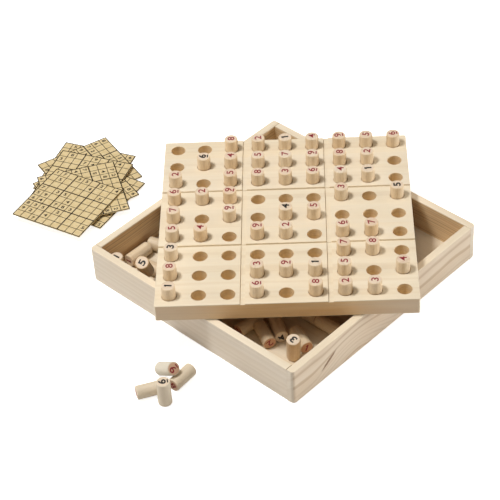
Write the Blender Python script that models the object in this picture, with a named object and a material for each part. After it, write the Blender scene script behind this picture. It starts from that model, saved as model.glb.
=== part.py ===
"""Wooden sudoku game.

A square tray box keeps the number pegs. Its drilled board is laid on the tray's rim, turned about an
eighth of a turn, with the pegs of a puzzle in its sockets. Spare pegs and puzzle cards lie beside it.

Frame: origin at the centre of the tray's underside, +Z up, the tray's walls along X and Y.
"""

import math

import bmesh
import bpy
from mathutils import Matrix, Vector

# Driving sizes, in metres
clearance = 0.0003
cutter_overrun = 0.002

tray_side = 0.200
tray_height = 0.030
wall_thickness = 0.006
tray_corner_radius = 0.003
rim_ease = 0.0006
floor_thickness = 0.003
floor_rebate = 0.003

board_side = 0.184
board_thickness = 0.0138
board_corner_radius = 0.0012
board_edge_ease = 0.0006
channel_width = 0.0036
channel_depth = 0.0009
board_shift_shares = (-0.0075, 0.0308)
board_turn = math.radians(42.5)

peg_diameter = 0.0099
peg_length = 0.0202
peg_chamfer = 0.0008
socket_slack = 0.0007
socket_depth = 0.0105

card_side = 0.062
card_thickness = 0.0007

# Counts and angles
cells_along_side = 9
cells_per_box = 3
round_facets = 16
corner_facets = 4
quarter_turn = math.radians(90)
sharp_angle = math.radians(30)

# What stands in each socket, back row first: r a loose red number, g a black number of the puzzle
socket_rows = (
    "..rrgrrrr",
    ".grrrrrr.",
    "r.rrrrrg.",
    "rrr...r.g",
    "r.r.gr...",
    "rr.rr.rr.",
    "g.....rr.",
    "r..rrgr.r",
    "g..r.rrr.",
)

# Cards from the bottom of the fan up: places as shares of the tray's side, and turns in degrees
card_place_shares = (
    (-0.9875, -0.0925, 22.5),
    (-0.9745, -0.0775, -15.2),
    (-0.8615, -0.1780, 11.7),
    (-0.8925, -0.1745, -14.3),
    (-0.9375, -0.1525, 22.5),
    (-0.8740, -0.2050, -31.7),
    (-0.8725, -0.2855, 13.8),
)

# Pegs on the table, placed about the one that stands: shares of a peg's length and diameter
table_pegs_share = (0.1547, -0.7772)
near_peg_turn = math.radians(60)
near_peg_along_share = -0.37
near_peg_across_share = 1.06
far_peg_turn = math.radians(-84.8)
far_peg_along_share = -1.08
far_peg_across_share = 0.25
leaning_peg_tilt = math.radians(36)
leaning_peg_skew = math.radians(-12)
leaning_peg_along_share = 0.08

# Sizes that follow from them
inner_side = tray_side - 2 * wall_thickness
rebate_side = inner_side + 2 * floor_rebate
board_rest_height = tray_height + clearance
board_place = Vector((share * tray_side for share in board_shift_shares))
socket_pitch = board_side / cells_along_side
socket_diameter = peg_diameter + socket_slack
socket_floor = board_thickness - socket_depth
peg_radius = peg_diameter / 2
peg_rest_height = socket_floor + clearance + peg_length / 2

birch = (0.80, 0.66, 0.47)
pine = (0.83, 0.70, 0.50)
plywood = (0.66, 0.48, 0.28)
peg_wood = (0.76, 0.62, 0.44)
buff_card = (0.72, 0.57, 0.32)


def clear_scene():
    for found in list(bpy.data.objects):
        bpy.data.objects.remove(found)


def new_collection(name):
    collection = bpy.data.collections.new(name)
    bpy.context.scene.collection.children.link(collection)
    return collection


def new_material(name, colour, roughness):
    material = bpy.data.materials.new(name)
    material.use_nodes = True
    shader = material.node_tree.nodes["Principled BSDF"]
    shader.inputs["Base Color"].default_value = (*colour, 1)
    shader.inputs["Roughness"].default_value = roughness
    shader.inputs["Metallic"].default_value = 0
    return material


def mesh_from(name, form):
    mesh = bpy.data.meshes.new(name)
    bmesh.ops.recalc_face_normals(form, faces=form.faces)
    form.to_mesh(mesh)
    form.free()
    return mesh


def add_object(name, mesh, collection):
    added = bpy.data.objects.new(name, mesh)
    collection.objects.link(added)
    return added


def add_cutter(name, mesh):
    cutter = add_object(name, mesh, cutters)
    cutter.hide_render = True
    cutter.display_type = "WIRE"
    return cutter


def add_boolean(target, operation, cutter):
    boolean = target.modifiers.new(operation.lower(), "BOOLEAN")
    boolean.operation = operation
    boolean.object = cutter
    boolean.solver = "EXACT"


def block_form(low, high):
    """A block between two opposite corners."""
    form = bmesh.new()
    size = Vector(high) - Vector(low)
    middle = (Vector(high) + Vector(low)) / 2
    place = Matrix.Translation(middle) @ Matrix.Diagonal((*size, 1))
    bmesh.ops.create_cube(form, size=1, matrix=place)
    return form


def ease_edges(form, chosen, width, segments):
    """Rounds the edges whose two ends both pass the test."""
    edges = [edge for edge in form.edges if chosen(*(vert.co for vert in edge.verts))]
    bmesh.ops.bevel(form, geom=edges, offset=width, segments=segments, profile=0.5, affect="EDGES")


def is_upright(a, b):
    return abs(a.z - b.z) > clearance and (a.xy - b.xy).length < clearance


def rounded_slab(side, height, radius, ease):
    """A square slab on the plane z = 0 with rounded upright corners and eased edges above and below."""
    form = block_form((-side / 2, -side / 2, 0), (side / 2, side / 2, height))
    ease_edges(form, is_upright, radius, corner_facets)

    def on_flat_face(a, b):
        return any(abs(a.z - level) < clearance and abs(b.z - level) < clearance for level in (0, height))

    ease_edges(form, on_flat_face, ease, 1)
    return form


def drum_form(diameter, low, high):
    """An upright cylinder between two heights."""
    form = bmesh.new()
    bmesh.ops.create_cone(
        form,
        cap_ends=True,
        segments=round_facets,
        radius1=diameter / 2,
        radius2=diameter / 2,
        depth=high - low,
        matrix=Matrix.Translation((0, 0, (low + high) / 2)),
    )
    return form


def add_form(target, form, place):
    """Puts one form into another at a place, and frees it."""
    mesh = mesh_from("placed_form", form)
    mesh.transform(place)
    target.from_mesh(mesh)
    bpy.data.meshes.remove(mesh)


def shade_round(mesh):
    mesh.shade_smooth()
    mesh.set_sharp_from_angle(angle=sharp_angle)


def make_tray():
    """Four walls that lap each other in a ring, and a plywood floor in their rebate."""
    outer_form = add_cutter(
        "tray_outer_form",
        mesh_from("tray_outer_form", rounded_slab(tray_side, tray_height, tray_corner_radius, rim_ease)),
    )
    rebate_half = rebate_side / 2 + clearance
    rebate = add_cutter(
        "floor_rebate",
        mesh_from(
            "floor_rebate",
            block_form(
                (-rebate_half, -rebate_half, -cutter_overrun),
                (rebate_half, rebate_half, floor_thickness + clearance),
            ),
        ),
    )
    outer_half = tray_side / 2
    inner_half = inner_side / 2
    wall_material = new_material("wall_wood", birch, 0.55)

    def on_inner_rim(a, b):
        return all(abs(v.z - tray_height) < clearance and abs(v.x - inner_half) < clearance for v in (a, b))

    for index, name in enumerate(("tray_wall_right", "tray_wall_back", "tray_wall_left", "tray_wall_front")):
        form = block_form((inner_half, -outer_half, 0), (outer_half, inner_half - clearance, tray_height))
        ease_edges(form, on_inner_rim, rim_ease, 1)
        turn = Matrix.Rotation(index * quarter_turn, 4, "Z")
        bmesh.ops.transform(form, matrix=turn, verts=form.verts)
        wall = add_object(name, mesh_from(name, form), parts)
        wall.data.materials.append(wall_material)
        add_boolean(wall, "INTERSECT", outer_form)
        add_boolean(wall, "DIFFERENCE", rebate)

    floor_half = rebate_side / 2
    floor_mesh = mesh_from(
        "tray_floor", block_form((-floor_half, -floor_half, 0), (floor_half, floor_half, floor_thickness))
    )
    floor = add_object("tray_floor", floor_mesh, parts)
    floor.data.materials.append(new_material("floor_plywood", plywood, 0.6))


def socket_centre(row, column):
    """A socket's place on the board: row 0 is at the back, column 0 at the left."""
    middle = (cells_along_side - 1) / 2
    return Vector(((column - middle) * socket_pitch, (middle - row) * socket_pitch))


def sockets_marked(marks):
    return [
        (row, column)
        for row, line in enumerate(socket_rows)
        for column, mark in enumerate(line)
        if mark in marks
    ]


def channel_cutter(name, turn):
    """The saw's path along the lines between the boxes of the puzzle, one way."""
    half_length = board_side / 2 + cutter_overrun
    form = bmesh.new()
    for box_line in range(cells_per_box, cells_along_side, cells_per_box):
        across = (box_line - cells_along_side / 2) * socket_pitch
        channel = block_form(
            (-half_length, across - channel_width / 2, board_thickness - channel_depth),
            (half_length, across + channel_width / 2, board_thickness + cutter_overrun),
        )
        add_form(form, channel, Matrix.Rotation(turn, 4, "Z"))
    return add_cutter(name, mesh_from(name, form))


def make_board():
    """The drilled board, with the pegs of the printed puzzle standing fast in it."""
    slab = rounded_slab(board_side, board_thickness, board_corner_radius, board_edge_ease)
    board = add_object("peg_board", mesh_from("peg_board", slab), parts)
    board.location = (*board_place, board_rest_height)
    board.rotation_euler.z = board_turn
    board.data.materials.append(new_material("board_wood", pine, 0.5))

    socket_form = bmesh.new()
    for row, column in sockets_marked(".r"):
        socket = drum_form(socket_diameter, socket_floor, board_thickness + cutter_overrun)
        add_form(socket_form, socket, Matrix.Translation((*socket_centre(row, column), 0)))
    given_form = bmesh.new()
    for row, column in sockets_marked("g"):
        add_form(given_form, peg_form(), Matrix.Translation((*socket_centre(row, column), peg_rest_height)))

    cuts = (
        (add_cutter("sockets", mesh_from("sockets", socket_form)), "DIFFERENCE"),
        (channel_cutter("channels_across", 0), "DIFFERENCE"),
        (channel_cutter("channels_along", quarter_turn), "DIFFERENCE"),
        (add_cutter("given_pegs", mesh_from("given_pegs", given_form)), "UNION"),
    )
    for cutter, operation in cuts:
        cutter.parent = board
        add_boolean(board, operation, cutter)
    return board


def peg_form():
    """A dowel with chamfered ends, centred on its own middle."""
    form = drum_form(peg_diameter, -peg_length / 2, peg_length / 2)

    def on_end(a, b):
        return a.z * b.z > 0 and abs(a.z - b.z) < clearance

    ease_edges(form, on_end, peg_chamfer, 1)
    return form


def add_peg(name, material):
    peg = add_object(name, peg_mesh, parts)
    peg.material_slots[0].link = "OBJECT"
    peg.material_slots[0].material = material
    return peg


def make_board_pegs(board):
    for row, column in sockets_marked("r"):
        peg = add_peg(f"board_peg_r{row + 1}_c{column + 1}", peg_material)
        peg.parent = board
        peg.location = (*socket_centre(row, column), peg_rest_height)


def lying(turn, tilt=0):
    """The turn that lays a peg along a heading, with its far end raised by the tilt."""
    return (Matrix.Rotation(turn, 4, "Z") @ Matrix.Rotation(quarter_turn - tilt, 4, "Y")).to_euler()


def beside(origin, turn, along, across):
    """A place at a distance along a heading and to its left."""
    heading = Vector((math.cos(turn), math.sin(turn)))
    left = Vector((-heading.y, heading.x))
    return origin + heading * along + left * across


def make_table_pegs():
    """One peg stands, one lies beside it, and one lies further back and carries a leaning one."""
    origin = Vector(share * tray_side for share in table_pegs_share)
    standing = add_peg("table_peg_standing", peg_material)
    standing.location = (*origin, peg_length / 2)

    near = add_peg("table_peg_near", peg_material)
    near.rotation_euler = lying(near_peg_turn)
    near_place = beside(
        origin, near_peg_turn, near_peg_along_share * peg_length, near_peg_across_share * peg_diameter
    )
    near.location = (*near_place, peg_radius)

    far = add_peg("table_peg_far", peg_material)
    far.rotation_euler = lying(far_peg_turn)
    far_place = beside(
        origin, far_peg_turn, far_peg_along_share * peg_length, -far_peg_across_share * peg_diameter
    )
    far.location = (*far_place, peg_radius)

    # Seen along the far peg's axis, the leaning one rests against its round side
    seen_tilt = math.atan2(math.tan(leaning_peg_tilt), math.cos(leaning_peg_skew))
    foot_height = peg_radius * math.cos(leaning_peg_tilt)
    rise = (peg_radius - foot_height) * math.cos(seen_tilt)
    reach = (peg_diameter + clearance + rise) / math.sin(seen_tilt)
    foot = beside(far_place, far_peg_turn, leaning_peg_along_share * peg_length, -reach)
    leaning_turn = far_peg_turn + quarter_turn + leaning_peg_skew
    level_run = math.cos(leaning_peg_tilt) * peg_length / 2
    middle = beside(foot, leaning_turn, level_run, 0)
    leaning = add_peg("table_peg_leaning", peg_material)
    leaning.rotation_euler = lying(leaning_turn, leaning_peg_tilt)
    leaning.location = (*middle, foot_height + math.sin(leaning_peg_tilt) * peg_length / 2)


def make_cards():
    """The fan of puzzle cards, each one lying on the card below it."""
    half = card_side / 2
    mesh = mesh_from("puzzle_card", block_form((-half, -half, 0), (half, half, card_thickness)))
    material = new_material("card_board", buff_card, 0.6)
    mesh.materials.append(material)
    for index, (along_share, across_share, turn) in enumerate(card_place_shares):
        card = add_object(f"puzzle_card_{index + 1}", mesh, parts)
        height = index * (card_thickness + clearance)
        card.location = (along_share * tray_side, across_share * tray_side, height)
        card.rotation_euler.z = math.radians(turn)


clear_scene()
parts = new_collection("wooden_sudoku_game")
cutters = new_collection("cutters")
cutters.hide_render = True
peg_material = new_material("peg_wood", peg_wood, 0.5)
peg_mesh = mesh_from("number_peg", peg_form())
peg_mesh.materials.append(peg_material)
shade_round(peg_mesh)

make_tray()
make_board_pegs(make_board())
make_table_pegs()
make_cards()
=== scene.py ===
# %% [markdown]
# # A wooden sudoku game
# A shallow tray box holds the number pegs, and a thick drilled board is laid across its rim for play. This
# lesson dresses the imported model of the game, which is made of plain solids. They give every size and place.
# Each piece made here takes the place of one of them and moves with the same body, so that the board still
# lifts off, the pegs pull out of their sockets and the cards come apart.

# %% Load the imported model
import math
import random

import bmesh
import bpy
from mathutils import Matrix, Quaternion, Vector


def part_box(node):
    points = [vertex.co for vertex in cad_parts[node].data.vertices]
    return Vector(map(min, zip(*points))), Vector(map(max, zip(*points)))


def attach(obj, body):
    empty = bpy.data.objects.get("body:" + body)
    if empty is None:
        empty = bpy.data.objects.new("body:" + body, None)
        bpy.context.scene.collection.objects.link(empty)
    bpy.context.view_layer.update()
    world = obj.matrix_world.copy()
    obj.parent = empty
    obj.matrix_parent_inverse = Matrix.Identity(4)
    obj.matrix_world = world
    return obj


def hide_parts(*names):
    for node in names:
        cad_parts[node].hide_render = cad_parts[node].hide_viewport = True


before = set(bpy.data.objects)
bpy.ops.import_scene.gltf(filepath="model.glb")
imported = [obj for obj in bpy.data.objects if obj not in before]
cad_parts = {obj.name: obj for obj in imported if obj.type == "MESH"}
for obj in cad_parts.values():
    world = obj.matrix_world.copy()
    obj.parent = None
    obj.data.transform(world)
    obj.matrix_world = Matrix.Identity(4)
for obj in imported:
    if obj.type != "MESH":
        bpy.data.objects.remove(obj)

millimetre = 0.001
bpy.ops.object.select_all(action="DESELECT")
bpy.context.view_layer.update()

# %% [markdown]
# ## The camera
# The photograph was taken with a long lens from over the tray's front corner, which keeps the board's edges
# almost parallel. Worked back from the tray's and the board's corners, the camera stands 1.33 m away. It is
# placed by the angles it looks along, as a tripod head would be, with a slight roll.

# %% Set up the camera
look_at = Vector((-0.0304, -0.0044, 0.00244))
camera_distance = 1.3333
camera_azimuth = math.radians(45.62)
camera_elevation = math.radians(41.20)
camera_roll = math.radians(-3.88)
camera_lens_mm = 128.2


def direction(azimuth, elevation):
    """The unit vector towards a place seen at an azimuth, from the front round to the right, and a height."""
    level = math.cos(elevation)
    return Vector((math.sin(azimuth) * level, -math.cos(azimuth) * level, math.sin(elevation)))


towards_camera = direction(camera_azimuth, camera_elevation)
camera_data = bpy.data.cameras.new("studio_camera")
camera_data.lens = camera_lens_mm
camera = bpy.data.objects.new("studio_camera", camera_data)
camera.location = look_at + towards_camera * camera_distance
camera.rotation_mode = "QUATERNION"
aim = (-towards_camera).to_track_quat("-Z", "Y")
camera.rotation_quaternion = aim @ Quaternion((0, 0, 1), camera_roll)
bpy.context.scene.collection.objects.link(camera)
bpy.context.scene.camera = camera
bpy.context.scene.view_settings.view_transform = "Standard"
print("camera at", tuple(round(value, 3) for value in camera.location))

# %% [markdown]
# ## Colours, nodes and materials
# Colours are easiest to judge as the hex codes that a picture shows, but a shader counts light in even
# steps, so each code is turned into that measure. Nodes could be laid out by hand. One helper that adds a
# node, sets it and links it keeps a long tree readable, since each call reads like a sentence.

# %% Helpers for colours and nodes


def srgb(code):
    """An sRGB hex colour as the linear one that Blender's sockets hold."""
    channels = [int(code[start:start + 2], 16) / 255 for start in (1, 3, 5)]
    linear = [c / 12.92 if c <= 0.04045 else ((c + 0.055) / 1.055) ** 2.4 for c in channels]
    return (*linear, 1)


def add_node(tree, kind, settings, inputs):
    """Adds a node, sets its options, and gives each input a value or a link, from a node's first output."""
    node = tree.nodes.new(kind)
    for name, value in settings.items():
        setattr(node, name, value)
    for name, value in inputs.items():
        if isinstance(value, bpy.types.Node):
            value = value.outputs[0]
        if isinstance(value, bpy.types.NodeSocket):
            tree.links.new(value, node.inputs[name])
        else:
            node.inputs[name].default_value = value
    return node


def new_material(name):
    """A material with only its output and a Principled shader."""
    material = bpy.data.materials.new(name)
    material.use_nodes = True
    return material, material.node_tree, material.node_tree.nodes["Principled BSDF"]


def for_camera(tree, others_get, camera_gets):
    """One shader for the camera's own view and another for all the light that goes round the room."""
    ray = add_node(tree, "ShaderNodeLightPath", {}, {})
    inputs = {0: ray.outputs["Is Camera Ray"], 1: others_get, 2: camera_gets}
    return add_node(tree, "ShaderNodeMixShader", {}, inputs)


print("a middle grey reflects", round(srgb("#808080")[0], 3), "of the light")

# %% [markdown]
# ## The table top and the room
# The game stands on a pale table that runs into a white background. White paper lit brightly enough to look
# white would throw light up into every shadow, and the board's dull front edge shows that little came from
# there. So the table is matt and pale grey, and glows only towards the camera. The room behind it is white
# to the camera in the same way, and to everything else it is a faint warm light from all round, which keeps
# the shadows from going black.

# %% Build the table top and the room
table_side = 6.0
table_drop = 0.1 * millimetre
paper_colour = "#E8E8E8"
paper_roughness = 0.9
white_lift = 0.8
room_colour = "#FFEAD0"
room_strength = 0.22

bpy.ops.mesh.primitive_plane_add(size=table_side, location=(0, 0, -table_drop))
table_top = bpy.context.object
table_top.name = "table_top"
# Matt paper has no highlight, so the game's shadow lies on it as one soft grey
paper, tree, shader = new_material("matt_white_paper")
shader.inputs["Base Color"].default_value = srgb(paper_colour)
shader.inputs["Roughness"].default_value = paper_roughness
glow = add_node(tree, "ShaderNodeEmission", {}, {"Color": (1, 1, 1, 1), "Strength": white_lift})
dark = add_node(tree, "ShaderNodeEmission", {}, {"Color": (0, 0, 0, 1), "Strength": 0})
lifted = add_node(tree, "ShaderNodeAddShader", {}, {0: shader, 1: for_camera(tree, dark, glow)})
tree.links.new(lifted.outputs[0], tree.nodes["Material Output"].inputs["Surface"])
table_top.data.materials.append(paper)

world = bpy.data.worlds.new("studio_world")
world.use_nodes = True
bpy.context.scene.world = world
tree = world.node_tree
ambient = tree.nodes["Background"]
ambient.inputs["Color"].default_value = srgb(room_colour)
ambient.inputs["Strength"].default_value = room_strength
backdrop = add_node(tree, "ShaderNodeBackground", {}, {"Color": (1, 1, 1, 1), "Strength": 1})
room = for_camera(tree, ambient, backdrop)
tree.links.new(room.outputs[0], tree.nodes["World Output"].inputs["Surface"])
print("table top", table_side, "m wide, room light", room_strength)

# %% [markdown]
# ## The lamps
# Each face of the game tells how bright one side of the studio was. The board's top is bright, the tray's
# two outer faces are pale, and a peg is darker down its middle, which faces the camera, than at its sides.
# So a small lamp stands high over the camera's left and gives the pegs their short shadows, a wide soft box
# hangs overhead, and a low soft box stands on each side at the height of the table. Hardly any light comes
# from where the camera stands.

# %% Place the lamps
# Azimuth and height from the object in degrees, distance, width and height in metres, and watts
lamp_settings = {
    "high_lamp": (-44.4, 69, 1.5, 0.25, 0.25, 14.2),
    "overhead_soft_box": (0, 88, 1.6, 1.4, 1.4, 4.2),
    "left_side_box": (-44, 9, 1.8, 0.6, 0.45, 7),
    "right_side_box": (130, 9, 1.8, 0.6, 0.45, 17.5),
}
for name, (azimuth, elevation, distance, width, height, power) in lamp_settings.items():
    lamp_data = bpy.data.lights.new(name, "AREA")
    lamp_data.shape = "RECTANGLE"
    lamp_data.size = width
    lamp_data.size_y = height
    lamp_data.energy = power
    lamp = bpy.data.objects.new(name, lamp_data)
    towards_lamp = direction(math.radians(azimuth), math.radians(elevation))
    lamp.location = towards_lamp * distance
    lamp.rotation_euler = towards_lamp.to_track_quat("Z", "Y").to_euler()
    bpy.context.scene.collection.objects.link(lamp)
print("lamps:", ", ".join(lamp_settings))

# %% [markdown]
# ## Sawn and sanded wood
# Pine and birch are both built of growth rings: cylinders round the tree's heart, each one pale where it
# grew fast in spring and darker where it slowed down. A plank is a straight cut through them. A picture of
# grain could be painted on each face, but it would not meet at the corners. Here the rings are worked out in
# space, so one pattern gives long lines on a face, arcs on a cut end and agreement along every edge.
#
# It starts from each piece's own frame of places in millimetres, with X along the grain. Noise that is
# stretched along the grain will bend the rings and draw the fine fibres. The node settings that come back
# again and again get names here.

# %% Helpers for places and noise
multiply_add = {"operation": "MULTIPLY_ADD"}
multiply_add_clamped = {"operation": "MULTIPLY_ADD", "use_clamp": True}
multiply_clamped = {"operation": "MULTIPLY", "use_clamp": True}
vector_length = {"operation": "LENGTH"}
seen_from = {"vector_type": "TEXTURE"}
soft_ended = {"interpolation_type": "SMOOTHSTEP"}
of_one_number = {"noise_dimensions": "1D"}
of_colours = {"data_type": "RGBA"}


def own_frame(tree, place, turn):
    """Object coordinates in millimetres in a piece's own frame, with X along its grain."""
    source = add_node(tree, "ShaderNodeTexCoord", {}, {})
    placing = {"Vector": source.outputs["Object"], "Location": place, "Rotation": turn}
    placed = add_node(tree, "ShaderNodeMapping", seen_from, placing)
    inputs = {0: placed, "Scale": 1 / millimetre}
    return add_node(tree, "ShaderNodeVectorMath", {"operation": "SCALE"}, inputs)


def stretched_noise(tree, vector, lengths_mm, detail, offset):
    """Noise whose patches are about these many millimetres long along X, Y and Z, from -0.5 to 0.5."""
    placing = {"Scale": tuple(1 / length for length in lengths_mm), "Location": (offset,) * 3}
    placed = add_node(tree, "ShaderNodeMapping", {}, {"Vector": vector, **placing})
    noise = add_node(tree, "ShaderNodeTexNoise", {}, {"Vector": placed, "Scale": 1, "Detail": detail})
    inputs = {0: noise.outputs["Color"], 1: (0.5, 0.5, 0.5)}
    return add_node(tree, "ShaderNodeVectorMath", {"operation": "SUBTRACT"}, inputs)


print("noise and rings are measured in steps of", millimetre, "m")

# %% [markdown]
# A place's depth is its distance from the tree's heart line, bent by noise, and a knot pulls or pushes it
# near itself. Divided by the width of a ring, it becomes a count of years. Within a ring the colour deepens
# slowly and ends at once, which gives the sharp side of each line. A resin pocket is a short dark lens in
# the wood with its rim torn along the fibres.

# %% The rings, the knot and the resin pocket
late_wood_start = 0.25
late_wood_peak = 0.86
pocket_core = 0.5
pocket_strength = 0.85
pocket_raggedness = 3


def knot_and_depth(tree, vector, look):
    """How much of a knot is here, and how deep the place lies in the tree, in millimetres."""
    placing = {"Vector": vector, "Location": look["knot_mm"], "Scale": look["knot_reach_mm"]}
    from_knot = add_node(tree, "ShaderNodeMapping", seen_from, placing)
    away = add_node(tree, "ShaderNodeVectorMath", vector_length, {0: from_knot}).outputs["Value"]
    knot = add_node(tree, "ShaderNodeMapRange", soft_ended, {"Value": away, "To Min": 1, "To Max": 0})
    bend = stretched_noise(tree, vector, look["bend_lengths_mm"], 2, look["seed"])
    reach = (0, look["bend_mm"], look["bend_mm"])
    bent = add_node(tree, "ShaderNodeVectorMath", multiply_add, {0: bend, 1: reach, 2: vector})
    across = (look["taper"], 1, 1)
    heart = (0, -look["heart_mm"][0], -look["heart_mm"][1])
    from_heart = add_node(tree, "ShaderNodeVectorMath", multiply_add, {0: bent, 1: across, 2: heart})
    radius = add_node(tree, "ShaderNodeVectorMath", vector_length, {0: from_heart}).outputs["Value"]
    depth = add_node(tree, "ShaderNodeMath", multiply_add, {0: knot, 1: look["knot_push_mm"], 2: radius})
    return knot, depth


def late_wood_in(tree, rings, season, look):
    """How dark a place is within its ring, where the seasons make some rings wider than others."""
    inputs = {0: season, 1: look["ring_unevenness"], 2: rings}
    uneven = add_node(tree, "ShaderNodeMath", multiply_add, inputs)
    within = add_node(tree, "ShaderNodeMath", {"operation": "FRACT"}, {0: uneven})
    darkness = add_node(tree, "ShaderNodeValToRGB", {}, {"Fac": within})
    ramp = darkness.color_ramp
    ramp.interpolation = "EASE"
    ramp.elements[0].position = late_wood_start
    ramp.elements[0].color = (0, 0, 0, 1)
    ramp.elements[1].position = late_wood_peak
    ramp.elements[1].color = (1, 1, 1, 1)
    ramp.elements.new(1.0).color = (0, 0, 0, 1)
    return darkness


def pocket_share(tree, vector, fibres, look):
    """How much of a resin pocket is here."""
    inputs = {0: fibres, 1: (pocket_raggedness,) * 3, 2: vector}
    ragged = add_node(tree, "ShaderNodeVectorMath", multiply_add, inputs)
    placing = {
        "Vector": ragged,
        "Location": look["pocket_mm"],
        "Rotation": (0, look["pocket_turn"], 0),
        "Scale": look["pocket_reach_mm"],
    }
    from_pocket = add_node(tree, "ShaderNodeMapping", seen_from, placing)
    away = add_node(tree, "ShaderNodeVectorMath", vector_length, {0: from_pocket}).outputs["Value"]
    limits = {"From Min": pocket_core, "To Min": pocket_strength, "To Max": 0}
    return add_node(tree, "ShaderNodeMapRange", soft_ended, {"Value": away, **limits})


print("late wood from", late_wood_start, "to", late_wood_peak, "of a ring")

# %% [markdown]
# The finished colour is built up as a painter would glaze it: the pale spring wood first, then the late wood
# of the rings, warmer patches, darker streaks that follow the rings, fine fibres and the resin. The same
# fibres make the gloss uneven, and with the rings they give the sanded face its fine relief, so that it
# shines in places and doesn't look like plastic.

# %% The whole wood
season_scale = 0.37
season_range = (0.3, 0.7)
lean_year_share = 0.25
streak_range = (0.48, 0.7)
pore_roughness = 0.25
ring_relief = 0.35
relief_strength = 0.5


def add_wood(tree, shader, vector, look):
    """Colours a shader as solid wood, from a vector in millimetres with X along the grain."""
    knot, depth = knot_and_depth(tree, vector, look)
    rings = add_node(tree, "ShaderNodeMath", {"operation": "DIVIDE"}, {0: depth, 1: look["ring_mm"]})
    years = {"W": rings, "Scale": season_scale, "Detail": 1}
    season = add_node(tree, "ShaderNodeTexNoise", of_one_number, years)
    late_wood = late_wood_in(tree, rings, season, look)
    limits = {
        "From Min": season_range[0],
        "From Max": season_range[1],
        "To Min": lean_year_share * look["ring_strength"],
        "To Max": look["ring_strength"],
    }
    in_year = add_node(tree, "ShaderNodeMapRange", {}, {"Value": season, **limits})
    inputs = {0: knot, 1: look["knot_strength"], 2: in_year}
    strength = add_node(tree, "ShaderNodeMath", multiply_add, inputs)
    late_share = add_node(tree, "ShaderNodeMath", multiply_clamped, {0: late_wood, 1: strength})

    patches = stretched_noise(tree, vector, look["patch_mm"], 1, look["seed"] + 9)
    patch = add_node(tree, "ShaderNodeSeparateXYZ", {}, {0: patches})
    inputs = {0: patch, 1: look["patch_strength"], 2: look["patch_strength"] / 2}
    warm_share = add_node(tree, "ShaderNodeMath", multiply_add_clamped, inputs)

    across_rings = {"W": depth, "Scale": 1 / look["streak_mm"], "Detail": 5}
    streaks = add_node(tree, "ShaderNodeTexNoise", of_one_number, across_rings)
    limits = {"From Min": streak_range[0], "From Max": streak_range[1], "To Max": look["streak_strength"]}
    streak_share = add_node(tree, "ShaderNodeMapRange", {}, {"Value": streaks, **limits})

    fibres = stretched_noise(tree, vector, look["fibre_mm"], 3, look["seed"] + 5)
    fibre = add_node(tree, "ShaderNodeSeparateXYZ", {}, {0: fibres})
    inputs = {0: fibre, 1: look["fibre_strength"], 2: 0}
    fibre_share = add_node(tree, "ShaderNodeMath", multiply_add_clamped, inputs)

    glazes = {
        "late": late_share,
        "warm": warm_share,
        "streak": streak_share,
        "fibre": fibre_share,
        "pocket": pocket_share(tree, vector, fibres, look),
    }
    finished = srgb(look["pale"])
    for tone, share in glazes.items():
        layer = {"Factor": share, 6: finished, 7: srgb(look[tone])}
        finished = add_node(tree, "ShaderNodeMix", of_colours, layer).outputs[2]
    tree.links.new(finished, shader.inputs["Base Color"])

    inputs = {0: fibre.outputs[1], 1: pore_roughness, 2: look["roughness"]}
    roughness = add_node(tree, "ShaderNodeMath", multiply_add, inputs)
    tree.links.new(roughness.outputs[0], shader.inputs["Roughness"])
    height = add_node(tree, "ShaderNodeMath", multiply_add, {0: late_wood, 1: ring_relief, 2: fibre})
    relief = {"Height": height, "Strength": relief_strength, "Distance": look["relief_mm"] * millimetre}
    bump = add_node(tree, "ShaderNodeBump", {}, relief)
    tree.links.new(bump.outputs[0], shader.inputs["Normal"])
    return finished


# Pale planed pine: soft cream with quiet honey lines and a satin lacquer, which every piece starts from and
# changes a little. Lengths are in millimetres, along the grain first. Real pores are too fine to show, so
# the fibres are drawn as coarse as 0.7 mm. A knot or a pocket that is 400 mm away is not there at all.
nowhere_mm = (0, 0, 400)
plank_look = {
    "seed": 0,
    "heart_mm": (-46, -58),
    "ring_mm": 3.4,
    "taper": 0.012,
    "bend_mm": 9,
    "bend_lengths_mm": (150, 45, 45),
    "ring_unevenness": 2.2,
    "ring_strength": 0.50,
    "pale": "#E9E0CC",
    "late": "#C9B391",
    "warm": "#E0CEB4",
    "patch_mm": (90, 18, 18),
    "patch_strength": 0.8,
    "knot_mm": nowhere_mm,
    "knot_reach_mm": (30, 14, 14),
    "knot_push_mm": 0,
    "knot_strength": 0,
    "streak": "#BFA583",
    "streak_mm": 2.6,
    "streak_strength": 0.25,
    "pocket": "#6B4A2C",
    "pocket_mm": nowhere_mm,
    "pocket_reach_mm": (9, 4, 0.9),
    "pocket_turn": 0,
    "fibre": "#BFA884",
    "fibre_mm": (22, 0.7, 0.7),
    "fibre_strength": 0.5,
    "roughness": 0.55,
    "relief_mm": 0.06,
}
print("wood defined, rings", plank_look["ring_mm"], "mm apart")

# %% [markdown]
# ## The tray walls
# The tray is four planed strips, glued end to side in a ring, so that each one covers its neighbour's end
# at one corner. The four could be cut from one hollow block, but then the grain would not change direction
# at the corners. Since the strips are the same, one is modelled and three copies are turned round the
# tray's middle.
#
# First come a few helpers that do what is done by hand in Blender: select by a rule, bevel, apply a
# modifier, smooth the shading, copy and join. The rest of the game is made with the same ones.

# %% Helpers for shaping
touch = 0.02 * millimetre


def select_only(*pieces):
    """Selects just these pieces and makes the first one active."""
    bpy.ops.object.select_all(action="DESELECT")
    for piece in pieces:
        piece.select_set(True)
    bpy.context.view_layer.objects.active = pieces[0]


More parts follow.
